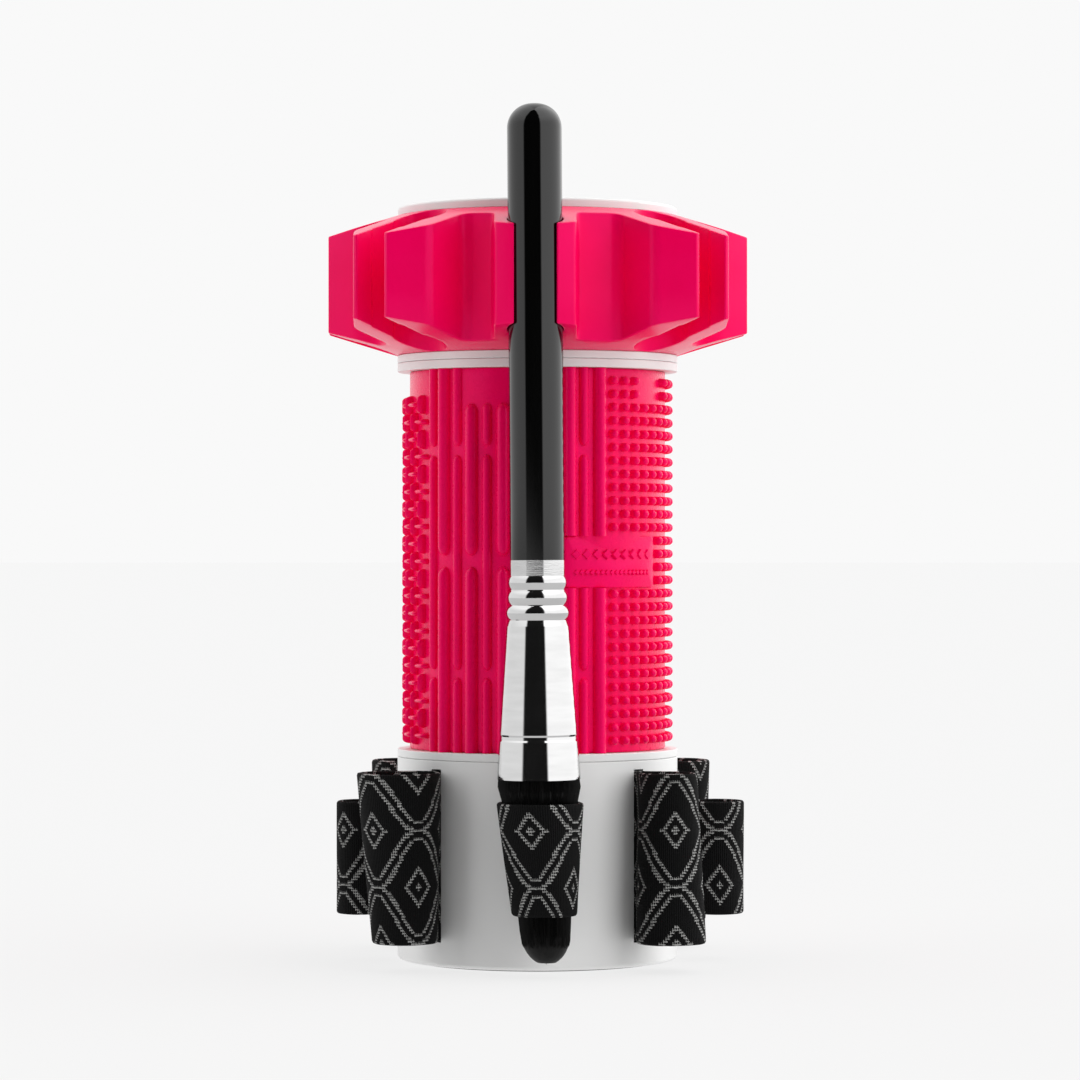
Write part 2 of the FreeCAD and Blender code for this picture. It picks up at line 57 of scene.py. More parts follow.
def high(node):
    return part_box(node)[1]


# The held brush leans a little to the left, and its bristles bend back to the right.

BRUSH_OUT = -(low("brush_handle").y + high("brush_handle").y) / 2
MOUTH_Z = low("brush_ferrule").z
TIP_Z = low("brush_bristles").z
LEAN = math.tan(math.radians(0.4))
LEAN_Z = 90.0 * MM
BRISTLE_LEAN = math.tan(math.radians(2.4))


def brush_x(z):
    return (LEAN_Z - z) * LEAN


def bristle_x(z):
    return brush_x(MOUTH_Z) + (MOUTH_Z - z) * BRISTLE_LEAN


# ---- mesh helpers ----

def rounded(corners, steps=4):
    """A run of (x, y, radius) corners with each corner turned into an arc of that radius."""
    points = []
    for i, (x, y, radius) in enumerate(corners):
        if radius == 0 or i in (0, len(corners) - 1):
            points.append((x, y))
            continue
        here = Vector((x, y))
        back = (Vector(corners[i - 1][:2]) - here).normalized()
        ahead = (Vector(corners[i + 1][:2]) - here).normalized()
        half = math.acos(max(-1, min(1, back.dot(ahead)))) / 2
        if half > math.pi / 2 - 0.01:
            points.append((x, y))
            continue
        centre = here + (back + ahead).normalized() * (radius / math.sin(half))
        start = here + back * (radius / math.tan(half)) - centre
        end = here + ahead * (radius / math.tan(half)) - centre
        sweep = math.atan2(start.x * end.y - start.y * end.x, start.dot(end))
        for k in range(steps + 1):
            spoke = Matrix.Rotation(sweep * k / steps, 2) @ start
            points.append(tuple(centre + spoke))
    return points


def lathe(profile, steps=192, axis=(0.0, 0.0)):
    """Vertices and faces turned about a vertical axis from (radius, z) points."""
    verts = []
    faces = []
    rows = []
    for radius, z in profile:
        if radius < 1e-7:
            rows.append([len(verts)] * steps)
            verts.append((axis[0], axis[1], z))
            continue
        rows.append(list(range(len(verts), len(verts) + steps)))
        for k in range(steps):
            angle = TURN * k / steps
            verts.append((axis[0] + radius * math.cos(angle), axis[1] + radius * math.sin(angle), z))
    for row, above in zip(rows, rows[1:]):
        for k in range(steps):
            n = (k + 1) % steps
            corners = [row[k], row[n], above[n], above[k]]
            face = [c for i, c in enumerate(corners) if c != corners[i - 1]]
            if len(face) > 2:
                faces.append(face)
    return verts, faces


class Pile:
    """Collects many small closed shapes into one mesh."""

    def __init__(self):
        self.verts = []
        self.faces = []
        self.uvs = []

    def add(self, verts, faces, place=None, uvs=None):
        start = len(self.verts)
        self.verts += [place(v) for v in verts] if place else list(verts)
        self.faces += [[start + i for i in face] for face in faces]
        if uvs:
            self.uvs += uvs


def piece(name, verts, faces, material, body, replaces=(), sharp=40, uvs=None):
    """A new object that rides on a CAD body and stands for CAD nodes."""
    mesh = bpy.data.meshes.new(name)
    mesh.from_pydata([tuple(v) for v in verts], [], faces)
    mesh.validate()
    if uvs:
        layer = mesh.uv_layers.new(name="UVMap")
        for loop in mesh.loops:
            layer.data[loop.index].uv = uvs[loop.vertex_index]
    mesh.update()
    obj = bpy.data.objects.new(name, mesh)
    bpy.context.scene.collection.objects.link(obj)
    outwards(mesh)
    mesh.shade_smooth()
    mesh.set_sharp_from_angle(angle=math.radians(sharp))
    mesh.materials.append(material)
    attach(obj, body)
    if replaces:
        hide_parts(*replaces)
    return obj


def outwards(mesh):
    work = bmesh.new()
    work.from_mesh(mesh)
    bmesh.ops.remove_doubles(work, verts=work.verts, dist=1e-7)
    bmesh.ops.recalc_face_normals(work, faces=work.faces)
    work.to_mesh(mesh)
    work.free()


# ---- materials ----

# Webbing pattern, millimetres
LATTICE_LENGTH = 18.9
LATTICE_HEIGHT = 24.8
WAVE_HEIGHT = 5.4
PAIR_GAP = 1.8
LINE_WIDTH = 0.8
DIAMOND_HALF = (2.7, 3.9)
RIB_PITCH = 0.42
STITCH_PITCH = 0.62


class Shader:
    """A short way to write a node material."""

    def __init__(self, name):
        self.material = bpy.data.materials.new(name)
        self.material.use_nodes = True
        self.nodes = self.material.node_tree.nodes
        self.links = self.material.node_tree.links
        self.bsdf = self.nodes["Principled BSDF"]

    def set(self, **values):
        for key, value in values.items():
            self.bsdf.inputs[key.replace("_", " ")].default_value = value
        return self

    def node(self, kind, **settings):
        made = self.nodes.new(kind)
        for key, value in settings.items():
            setattr(made, key, value)
        return made

    def link(self, source, target):
        self.links.new(source, target)

    def math(self, operation, a, b=None):
        made = self.node("ShaderNodeMath", operation=operation)
        for socket, value in zip(made.inputs, (a, b)):
            if value is None:
                continue
            if isinstance(value, (int, float)):
                socket.default_value = value
            else:
                self.link(value, socket)
        return made.outputs[0]

    def noise(self, scale, detail=3.0, stretch=(1, 1, 1), source="Object"):
        place = self.node("ShaderNodeTexCoord")
        mapping = self.node("ShaderNodeMapping")
        mapping.inputs["Scale"].default_value = stretch
        self.link(place.outputs[source], mapping.inputs["Vector"])
        made = self.node("ShaderNodeTexNoise")
        made.inputs["Scale"].default_value = scale
        made.inputs["Detail"].default_value = detail
        self.link(mapping.outputs[0], made.inputs["Vector"])
        return made.outputs["Fac"]

    def ramp(self, value, *stops):
        """stops are (position, (r, g, b)) pairs."""
        made = self.node("ShaderNodeValToRGB")
        points = made.color_ramp.elements
        while len(points) < len(stops):
            points.new(0.5)
        for point, (position, colour) in zip(points, stops):
            point.position = position
            point.color = (*colour, 1)
        self.link(value, made.inputs[0])
        return made.outputs[0]

    def range(self, value, low_out, high_out, low_in=0.0, high_in=1.0):
        made = self.node("ShaderNodeMapRange")
        for socket, number in zip(made.inputs[1:5], (low_in, high_in, low_out, high_out)):
            socket.default_value = number
        self.link(value, made.inputs[0])
        return made.outputs[0]

    def bump(self, height, distance, strength=1.0, under=None):
        made = self.node("ShaderNodeBump")
        made.inputs["Distance"].default_value = distance
        made.inputs["Strength"].default_value = strength
        self.link(height, made.inputs["Height"])
        if under:
            self.link(under, made.inputs["Normal"])
        return made.outputs[0]

    def colour(self, source):
        self.link(source, self.bsdf.inputs["Base Color"])

    def roughness(self, source):
        self.link(source, self.bsdf.inputs["Roughness"])

    def normal(self, source):
        self.link(source, self.bsdf.inputs["Normal"])


def white_plastic():
    s = Shader("white_plastic")
    s.set(IOR=1.46, Subsurface_Weight=0.0)
    s.colour(s.ramp(s.noise(35), (0.3, (0.765, 0.765, 0.76)), (0.7, (0.795, 0.795, 0.79))))
    s.roughness(s.range(s.noise(900, 2), 0.30, 0.42))
    s.normal(s.bump(s.noise(2600, 2), 0.00002, 0.5))
    return s.material


def pink_silicone(name, shine_low, shine_high):
    s = Shader(name)
    s.set(IOR=1.45)
    s.bsdf.inputs["Specular Tint"].default_value = (1.0, 0.12, 0.5, 1)
    s.colour(s.ramp(s.noise(60, 4), (0.3, (0.89, 0.0003, 0.090)), (0.7, (0.95, 0.0006, 0.108))))
    s.roughness(s.range(s.noise(700, 3), shine_low, shine_high))
    s.normal(s.bump(s.noise(1800, 3), 0.00003, 0.6))
    return s.material


def black_lacquer():
    s = Shader("black_lacquer")
    s.set(IOR=1.5)
    grain = s.noise(220, 2, (1, 1, 0.05))
    s.colour(s.ramp(grain, (0.3, (0.0008, 0.0008, 0.0008)), (0.8, (0.0018, 0.0018, 0.0018))))
    s.roughness(s.range(s.noise(300, 2, (1, 1, 0.1)), 0.05, 0.10))
    s.normal(s.bump(s.noise(500, 2, (1, 1, 0.15)), 0.00001, 0.4))
    return s.material


def polished_metal():
    s = Shader("polished_metal")
    s.set(Metallic=1.0)
    s.colour(s.ramp(s.noise(90, 2, (1, 1, 6)), (0.3, (0.51, 0.51, 0.51)), (0.7, (0.56, 0.56, 0.56))))
    s.roughness(s.range(s.noise(1500, 3, (1, 1, 0.05)), 0.04, 0.10))
    s.normal(s.bump(s.noise(1400, 2, (0.3, 0.3, 4)), 0.000006, 0.5))
    return s.material


def black_fibre():
    s = Shader("black_fibre")
    s.set(Roughness=0.5)
    s.bsdf.inputs["Specular IOR Level"].default_value = 0.16
    strands = s.noise(1200, 3, (1, 1, 0.03))
    s.colour(s.ramp(strands, (0.35, (0.001, 0.001, 0.001)), (0.75, (0.006, 0.0057, 0.0055))))
    s.normal(s.bump(s.noise(2500, 2, (1, 1, 0.03)), 0.00006, 0.8))
    return s.material


def pad_rubber():
    s = Shader("pad_rubber")
    s.colour(s.ramp(s.noise(300), (0.3, (0.10, 0.10, 0.10)), (0.7, (0.14, 0.14, 0.14))))
    s.roughness(s.range(s.noise(1200), 0.6, 0.85))
    s.normal(s.bump(s.noise(2500), 0.00008, 0.7))
    return s.material


def plated_steel():
    s = Shader("plated_steel")
    s.set(Metallic=1.0)
    s.colour(s.ramp(s.noise(700), (0.3, (0.5, 0.5, 0.48)), (0.7, (0.66, 0.66, 0.64))))
    s.roughness(s.range(s.noise(900), 0.25, 0.4))
    return s.material


def set_glue():
    s = Shader("set_glue")
    s.colour(s.ramp(s.noise(400), (0.3, (0.45, 0.37, 0.22)), (0.7, (0.55, 0.46, 0.3))))
    s.roughness(s.range(s.noise(500), 0.25, 0.5))
    return s.material


def knit_elastic():
    """Ribbed black webbing with a lattice of paired stitched waves and small diamonds."""
    s = Shader("knit_elastic")
    place = s.node("ShaderNodeTexCoord")
    split = s.node("ShaderNodeSeparateXYZ")
    s.link(place.outputs["UV"], split.inputs[0])
    u = s.math("MULTIPLY", split.outputs["X"], 1000.0)
    v = s.math("MULTIPLY", split.outputs["Y"], 1000.0)
    wobble = s.math("MULTIPLY", s.math("SUBTRACT", s.noise(900, 2), 0.5), 0.5)
    v = s.math("ADD", v, wobble)
    u_stitch = s.math("MULTIPLY", s.math("FLOOR", s.math("DIVIDE", u, RIB_PITCH)), RIB_PITCH)
    v_stitch = s.math("MULTIPLY", s.math("FLOOR", s.math("DIVIDE", v, STITCH_PITCH)), STITCH_PITCH)
    phase = s.math("MULTIPLY", u_stitch, TURN / LATTICE_LENGTH)
    wave = s.math("MULTIPLY", s.math("COSINE", phase), WAVE_HEIGHT)
    slope = s.math("MULTIPLY", s.math("SINE", phase), WAVE_HEIGHT * TURN / LATTICE_LENGTH)
    steepness = s.math("SQRT", s.math("ADD", s.math("MULTIPLY", slope, slope), 1.0))
    rise = s.math("DIVIDE", wrapped(s, s.math("SUBTRACT", v_stitch, wave), LATTICE_HEIGHT), steepness)
    fall_at = s.math("SUBTRACT", s.math("ADD", v_stitch, wave), LATTICE_HEIGHT / 2)
    fall = s.math("DIVIDE", wrapped(s, fall_at, LATTICE_HEIGHT), steepness)
    waves = s.math("MAXIMUM", pair_of_lines(s, rise), pair_of_lines(s, fall))
    first = diamond(s, s.math("SUBTRACT", u_stitch, LATTICE_LENGTH / 2),
                    s.math("SUBTRACT", v_stitch, LATTICE_HEIGHT / 4))
    second = diamond(s, u_stitch, s.math("ADD", v_stitch, LATTICE_HEIGHT / 4))
    figure = s.math("MAXIMUM", waves, s.math("MAXIMUM", first, second))
    rib = s.math("SINE", s.math("MULTIPLY", u, TURN / RIB_PITCH))
    course = s.math("SINE", s.math("MULTIPLY", v, TURN / STITCH_PITCH))
    stitch = s.range(s.math("ADD", course, s.math("MULTIPLY", rib, 0.8)), 0.0, 1.0, -0.9, 0.2)
    worn = s.range(s.noise(1700, 2), 0.45, 1.0, 0.3, 0.6)
    thread = s.math("MULTIPLY", s.math("MULTIPLY", figure, stitch), worn)
    # The ground colour is darker in the grooves between the ribs and lighter on their crests: painted
    # shade.
    rib_height = s.range(rib, 0, 1, -1, 1)
    groove_shaded_ground = s.ramp(rib_height, (0.0, (0.0006, 0.0006, 0.0006)), (1.0, (0.0045, 0.0045, 0.0047)))
    mix = s.node("ShaderNodeMix", data_type="RGBA")
    s.link(thread, mix.inputs["Factor"])
    s.link(groove_shaded_ground, mix.inputs["A"])
    mix.inputs["B"].default_value = (0.42, 0.42, 0.41, 1)
    s.colour(mix.outputs["Result"])
    s.set(Roughness=0.85)
    s.bsdf.inputs["Specular IOR Level"].default_value = 0.12
    ribs = s.bump(rib, 0.00009, 0.7)
    knots = s.bump(s.math("MULTIPLY", course, 0.5), 0.00005, 0.6, ribs)
    s.normal(s.bump(thread, 0.00018, 0.9, knots))
    return s.material


def wrapped(s, value, period):
    """Distance to the nearest multiple of the period."""
    share = s.math("FRACT", s.math("ADD", s.math("DIVIDE", value, period), 0.5))
    return s.math("MULTIPLY", s.math("ABSOLUTE", s.math("SUBTRACT", share, 0.5)), period)


def pair_of_lines(s, distance):
    off = s.math("ABSOLUTE", s.math("SUBTRACT", distance, PAIR_GAP / 2))
    return s.math("LESS_THAN", off, LINE_WIDTH / 2)


def diamond(s, across, up):
    """A small diamond outline with a dot, once in every cell of the lattice."""
    size = s.math("ADD", s.math("DIVIDE", wrapped(s, across, LATTICE_LENGTH), DIAMOND_HALF[0]),
                  s.math("DIVIDE", wrapped(s, up, LATTICE_HEIGHT), DIAMOND_HALF[1]))
    edge = s.math("LESS_THAN", s.math("ABSOLUTE", s.math("SUBTRACT", size, 1.0)), 0.17)
    dot = s.math("LESS_THAN", size, 0.3)
    return s.math("MAXIMUM", edge, dot)


WHITE = white_plastic()
COLLAR_PINK = pink_silicone("collar_silicone", 0.20, 0.28)
MAT_PINK = pink_silicone("mat_silicone", 0.22, 0.34)
LACQUER = black_lacquer()
METAL = polished_metal()
FIBRE = black_fibre()
ELASTIC = knit_elastic()

CAD_FINISHES = {
    "base_shell": WHITE,
    "base_floor": WHITE,
    "anchor_drum": WHITE,
    "column_body": WHITE,
    "column_cap": WHITE,
    "head_core": WHITE,
    "head_cap": WHITE,
    "foot_pad": pad_rubber(),
    "floor_screws": plated_steel(),
    "brush_handle": LACQUER,
    "brush_ferrule": METAL,
    "brush_knot": set_glue(),
}


def finish_cad_nodes():
    for node, material in CAD_FINISHES.items():
        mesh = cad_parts[node].data
        mesh.materials.clear()
        mesh.materials.append(material)


# ---- collar ----

COLLAR_LOW = low("collar").z
COLLAR_HIGH = high("collar").z
HUB_R = 32.0 * MM          # where the arms' sloping faces begin
COLLAR_SLOPE = 0.31
COLLAR_IN_R = 28.3 * MM
COLLAR_EDGE = 0.28 * MM    # rounding of every edge
COLLAR_TURN = math.radians(1.4)
# Half outlines, millimetres: (along the arm, half width, corner radius) from the root to the lip
LONG_ARM = ((35.7, 11.9, 3.2), (46.4, 11.9, 4.5))
SHORT_ARM = ((35.9, 11.3, 3.2), (40.6, 10.6, 7.0))
GRIP_ARM = ((36.9, 9.0, 1.8), (45.9, 9.0, 1.5))
LONG_LIP = (53.0, 5.3)
SHORT_LIP = (47.4, 5.4)
CHANNEL_HALF = 4.8
MOUTH_HALF = 4.2
BEAD = 4.4
POCKET_R = 6.0
POCKET_AT = 37.8
GRIP_R = 6.08              # against the handle
GRIP_BACK_R = 5.0
GRIP_BACK_AT = 36.8
GRIP_LIP = (47.95, -4.45, 0.3)
GRIP_LIP_TURN = math.radians(50)   # where the lip's end meets the handle, from straight outwards
COLLAR_MID_Z = 152.9 * MM
HOLE_STEPS = 96
HUB_STEPS = 144
SPACING = 1.6 * MM         # of the extra points on the sloping faces
SLOPE_RINGS = 11


def arc(centre, radius, start, end, steps):
    """Sharp corners along an arc about a point on the arm's middle line."""
    points = []
    for k in range(steps + 1):
        angle = start + (end - start) * k / steps
        points.append((centre + radius * math.cos(angle), radius * math.sin(angle), 0))
    return points


def empty_side(flank, lip):
    """Corners of half an arm with an open slot: flank, lip, bead, channel and half of the pocket."""
    reach, half = lip
    corners = [(along, -out, radius) for along, out, radius in flank]
    corners += [
        (reach, -half, 0.6),
        (reach, -MOUTH_HALF, 0.45),
        (reach - BEAD, -MOUTH_HALF, 0.6),
        (reach - BEAD - 1.0, -CHANNEL_HALF, 0.6),
    ]
    return corners + arc(POCKET_AT, POCKET_R, -math.asin(CHANNEL_HALF / POCKET_R), -math.pi, 30)


def grip_side():
    """Corners of half the front arm, spread by the handle: the lip ends lie against it."""
    middle = BRUSH_OUT / MM
    corners = [(along, -out, radius) for along, out, radius in GRIP_ARM]
    corners.append(GRIP_LIP)
    meets_channel = -math.pi + math.asin(GRIP_BACK_R / GRIP_R)
    corners += arc(middle, GRIP_R, -GRIP_LIP_TURN, meets_channel, 22)
    return corners + arc(GRIP_BACK_AT, GRIP_BACK_R, -math.pi / 2, -math.pi, 18)


def star_outline():
    """The collar's whole outline, slots included, once round. Metres."""
    corners = []
    for k in range(8):
        turn = -math.pi / 2 + k * math.pi / 4 + (COLLAR_TURN if k else 0)
        if k == 0:
            side = grip_side()
        elif k % 2:
            side = empty_side(LONG_ARM, LONG_LIP)
        else:
            side = empty_side(SHORT_ARM, SHORT_LIP)
        shift = brush_x(COLLAR_MID_Z) / MM if k == 0 else 0
        whole = side + [(x, -y, radius) for x, y, radius in reversed(side[:-1])]
        c, s = math.cos(turn), math.sin(turn)
        for x, y, radius in whole:
            y += shift
            corners.append((x * c - y * s, x * s + y * c, radius))
    ring = rounded([corners[-1]] + corners + [corners[0]], 10)[1:-1]
    return [(x * MM, y * MM) for x, y in ring]


def inset(outline, depth):
    """The outline moved inwards by depth, for an anticlockwise outline."""
    moved = []
    for i, here in enumerate(outline):
        before = Vector(here) - Vector(outline[i - 1])
        after = Vector(outline[(i + 1) % len(outline)]) - Vector(here)
        way = before.normalized() + after.normalized()
        side = Vector((-way.y, way.x)).normalized()
        moved.append(tuple(Vector(here) + side * depth))
    return moved


def inside(point, outline):
    x, y = point
    odd = False
    for (x1, y1), (x2, y2) in zip(outline, outline[1:] + outline[:1]):
        if (y1 > y) != (y2 > y) and x < x1 + (y - y1) * (x2 - x1) / (y2 - y1):
            odd = not odd
    return odd


def filled(outline, hole, extra):
    """Triangles between an outline and an optional hole, using the extra points too."""
    points = [Vector(p) for p in outline + hole + extra]
    n, m = len(outline), len(hole)
    rings = [list(range(n))] + ([list(range(n, n + m))] if hole else [])
    edges = [(ring[i], ring[(i + 1) % len(ring)]) for ring in rings for i in range(len(ring))]
    verts, _, faces, *_ = delaunay_2d_cdt(points, edges, [], 1, 1e-9)
    kept = []
    for face in faces:
        middle = sum((verts[i] for i in face), Vector((0, 0))) / len(face)
        if inside(middle, outline) and not (hole and inside(middle, hole)):
            kept.append(face)
    return verts, kept


def solid_between(outline, hole, edge, floor_of, roof_of, extra=()):
    """A closed solid under an outline, from floor_of to roof_of, its edges rounded."""
    pile = Pile()
    levels = []
    for k in range(4):
        lean = k / 3 * math.pi / 2
        levels.append((edge * (1 - math.sin(lean)), 0, edge * (1 - math.cos(lean))))
    levels += [(0, 0.33, 0), (0, 0.67, 0)]
    levels += [(depth, 1, -rise) for depth, _, rise in reversed(levels[:4])]
    rings = []
    for depth, share, lift in levels:
        ring = inset(outline, depth) if depth else outline
        floor = [floor_of(p) for p in ring]
        roof = [roof_of(p) for p in ring]
        rings.append([(x, y, f + share * (r - f) + lift) for (x, y), f, r in zip(ring, floor, roof)])
    n = len(outline)
    wall = [[a * n + i, a * n + (i + 1) % n, (a + 1) * n + (i + 1) % n, (a + 1) * n + i]
            for a in range(len(rings) - 1) for i in range(n)]
    pile.add([p for ring in rings for p in ring], wall)
    verts, faces = filled(inset(outline, edge), hole, list(extra))
    for height in (floor_of, roof_of):
        pile.add([(p.x, p.y, height(p)) for p in verts], faces)
    if hole:
        m = len(hole)
        tube = [(x, y, floor_of((x, y))) for x, y in hole] + [(x, y, roof_of((x, y))) for x, y in hole]
        pile.add(tube, [[i, (i + 1) % m, m + (i + 1) % m, m + i] for i in range(m)])
    return pile


def collar_fall(point):
    return COLLAR_SLOPE * max(0.0, math.hypot(point[0], point[1]) - HUB_R)


def points_round(radius, count):
    angles = [TURN * k / count for k in range(count)]
    return [(radius * math.cos(angle), radius * math.sin(angle)) for angle in angles]


def build_collar():
    outline = star_outline()
    hole = points_round(COLLAR_IN_R, HOLE_STEPS)
    shrunk = inset(outline, COLLAR_EDGE + 0.5 * MM)
    extra = [p for p in points_round(HUB_R, HUB_STEPS) if inside(p, shrunk)]
    for step in range(1, SLOPE_RINGS + 1):
        radius = HUB_R + step * SPACING
        ring = points_round(radius, int(TURN * radius / SPACING))
        extra += [p for p in ring if inside(p, shrunk)]

    def floor_of(point):
        return COLLAR_LOW + collar_fall(point)

    def roof_of(point):
        return COLLAR_HIGH - collar_fall(point)

    pile = solid_between(outline, hole, COLLAR_EDGE, floor_of, roof_of, extra)
    stands_for = ["collar"]
    return piece("collar_star", pile.verts, pile.faces, COLLAR_PINK, "head", stands_for, 50)


# ---- cleaning mat ----

MAT_LOW = low("cleaning_mat").z
MAT_HIGH = high("cleaning_mat").z
MAT_IN_R = 27.1 * MM
MAT_R = 29.0 * MM
TALL = 1.8 * MM            # how far the tall textures stand out of the sheet
LOW = 1.2 * MM
SUNK = 0.3 * MM


def on_mat(turn, z):
    """Places (across, up, out) on the mat; turn is in degrees from the front, to the right."""
    angle = math.radians(turn - 90)
    out = Vector((math.cos(angle), math.sin(angle), 0))
    across = Vector((-math.sin(angle), math.cos(angle), 0))
    return lambda p: across * p[0] + Vector((0, 0, z + p[1])) + out * (MAT_R + p[2])


def dome(radius, height, steps=16):
    """A round stud with a domed end, sunk a little into the sheet."""
    profile = [(0, -SUNK), (radius * 1.12, -SUNK), (radius * 1.03, 0.2 * MM), (radius * 0.98, height * 0.5)]
    for k in range(1, 6):
        lean = k / 5 * math.pi / 2
        profile.append((radius * 0.98 * math.cos(lean), height * (0.5 + 0.5 * math.sin(lean))))
    profile[-1] = (0, height)
    return lathe(profile, steps)


def ridge(half, height, start, end, cut_start=False, cut_end=False, steps=20):
    """A bar that lies half sunk in the mat, along (across, up, out)'s second axis."""
    profile = []
    for k in range(6):
        lean = k / 5 * math.pi / 2
        profile.append((half * math.sin(lean), start + 1.5 * half * (1 - math.cos(lean))))
    if cut_start:
        profile = [(0, start), (half, start)]
    tail = []
    for k in range(6):
        lean = k / 5 * math.pi / 2
        tail.append((half * math.cos(lean), end - 1.5 * half * (1 - math.sin(lean))))
    if cut_end:
        tail = [(half, end), (0, end)]
    profile += tail
    profile[0] = (0, profile[0][1])
    profile[-1] = (0, profile[-1][1])
    verts, faces = lathe(profile, steps)
    return [(x, z, y * height / half) for x, y, z in verts], faces


def build_mat():
    pile = Pile()
    lip = 0.35 * MM
    section = [
        (MAT_IN_R, MAT_LOW, 0), (MAT_R, MAT_LOW, lip),
        (MAT_R, MAT_HIGH, lip), (MAT_IN_R, MAT_HIGH, 0),
    ]
    profile = rounded(section, 4)
    pile.add(*lathe(profile + profile[:1], 240))
    add_ribs(pile)
    add_studs(pile)
    add_weave(pile)
    add_plaque(pile)
    stands_for = ["cleaning_mat"]
    return piece("mat_sleeve", pile.verts, pile.faces, MAT_PINK, "column", stands_for, 50)


# Turns are degrees from the front, positive to the right; heights are millimetres.
PLAQUE_TURNS = (11.5, 59.5)
PLAQUE_Z = (84.6, 96.1)
MAT_ENDS = (48.05, 133.35)
TALL_HALF = 1.5 * MM
TALL_RIBS = (-45, -30, -15, 0, 165, 180, 195)
TALL_RUNS = ((MAT_ENDS[0], 89.3), (91.7, MAT_ENDS[1]))
LOW_HALF = 1.1 * MM
LOW_RIBS = (-52.5, -37.5, -22.5, -7.5, 7, 157.5, 172.5, 187.5, 202.5)
LOW_RUNS = ((MAT_ENDS[0], 64.7), (66.3, 114.1), (116.0, MAT_ENDS[1]))
PLAIN_TURNS = (-33.0, -12.0)
PLAIN_BOTTOM = 125.5
RIGHT_TALL_RIBS = (14.2, 28.1)
RIGHT_TALL_RUNS = ((MAT_ENDS[0], PLAQUE_Z[0]), (PLAQUE_Z[1], MAT_ENDS[1]))
RIGHT_LOW_RIBS = (20.6,)
RIGHT_LOW_RUNS = (
    (MAT_ENDS[0], 64.7), (66.3, PLAQUE_Z[0]), (PLAQUE_Z[1], 114.1), (116.0, MAT_ENDS[1]),
)
SQUARE_ENDS = MAT_ENDS + PLAQUE_Z   # ribs that end here are cut off square
STUD_TURNS = [34.8 + 6.15 * k for k in range(20)]
STUD_HEIGHTS = [50.7 + 2.96 * k for k in range(28)]
STUD_R = 0.97
BLANK_TURNS = (50.0, 68.0)
BLANK_BOTTOM = 126.0
WEAVE_TURNS = [-60.9 - 7.5 * k for k in range(12)]
WEAVE_HEIGHTS = [51.4 + 3.905 * k for k in range(20)]
WEAVE_LENGTH = 4.4 * MM
WEAVE_HALF = 0.65 * MM


def rib_row(pile, turns, half, height, runs):
    for turn in turns:
        limit = PLAIN_BOTTOM if PLAIN_TURNS[0] < turn < PLAIN_TURNS[1] else MAT_ENDS[1]
        for z0, z1 in runs:
            z1 = min(z1, limit)
            bar = ridge(half, height, z0 * MM, z1 * MM, z0 in SQUARE_ENDS, z1 in SQUARE_ENDS)
            pile.add(*bar, on_mat(turn, 0))


def add_ribs(pile):
    rib_row(pile, TALL_RIBS, TALL_HALF, TALL, TALL_RUNS)
    rib_row(pile, LOW_RIBS, LOW_HALF, LOW, LOW_RUNS)
    rib_row(pile, RIGHT_TALL_RIBS, TALL_HALF, TALL, RIGHT_TALL_RUNS)
    rib_row(pile, RIGHT_LOW_RIBS, LOW_HALF, LOW, RIGHT_LOW_RUNS)


def add_studs(pile):
    stud = dome(STUD_R * MM, TALL)
    for turn in STUD_TURNS:
        for z in STUD_HEIGHTS:
            on_plaque = turn < PLAQUE_TURNS[1] and PLAQUE_Z[0] - STUD_R < z < PLAQUE_Z[1] + STUD_R
            on_blank = BLANK_TURNS[0] < turn < BLANK_TURNS[1] and z > BLANK_BOTTOM
            if not on_plaque and not on_blank:
                pile.add(*stud, on_mat(turn, z * MM))


def add_weave(pile):
    verts, faces = ridge(WEAVE_HALF, TALL, -WEAVE_LENGTH / 2, WEAVE_LENGTH / 2, steps=16)
    level = [(up, across, out) for across, up, out in verts]
    for column, turn in enumerate(WEAVE_TURNS):
        for row, z in enumerate(WEAVE_HEIGHTS):
            bar = verts if (column + row) % 2 else level
            pile.add(bar, faces, on_mat(turn, z * MM))


def add_plaque(pile):
    half = math.radians(PLAQUE_TURNS[1] - PLAQUE_TURNS[0]) / 2 * MAT_R
    rise = (PLAQUE_Z[1] - PLAQUE_Z[0]) / 2 * MM
    corner = 1.0 * MM
    ring = [
        (0, -rise, 0), (half, -rise, corner), (half, rise, corner),
        (-half, rise, corner), (-half, -rise, corner), (0, -rise, 0),
    ]
    outline = rounded(ring, 5)[:-1]
    extra = [(x * MM, 0) for x in range(-int(half / MM) + 2, int(half / MM) - 1)]
    slab = solid_between(outline, [], 0.35 * MM, lambda p: -0.3 * MM, lambda p: 1.1 * MM, extra)
    middle = math.radians(sum(PLAQUE_TURNS) / 2 - 90)

    def bent(p):
        angle = middle + p[0] / MAT_R
        radius = MAT_R + p[2]
        height = sum(PLAQUE_Z) / 2 * MM + p[1]
        return Vector((radius * math.cos(angle), radius * math.sin(angle), height))

    pile.add(slab.verts, slab.faces, bent)
    for height, count, size in ((1.7, 9, 1.25), (-2.3, 17, 0.65)):
        step = 2 * (half - 2.6 * MM) / (count - 1)
        profile = [(0, 0.9 * MM), (size * MM, 0.9 * MM), (size * 0.8 * MM, 1.45 * MM), (0, 1.5 * MM)]
        verts, faces = lathe(profile, 4)
        for k in range(count):
            across = -half + 2.6 * MM + k * step
            pile.add(verts, faces, lambda p: bent((across + p[0], height * MM + p[1], p[2])))


# ---- elastic loops ----

BAND_T = 1.2 * MM
APEX_R = 31.9 * MM


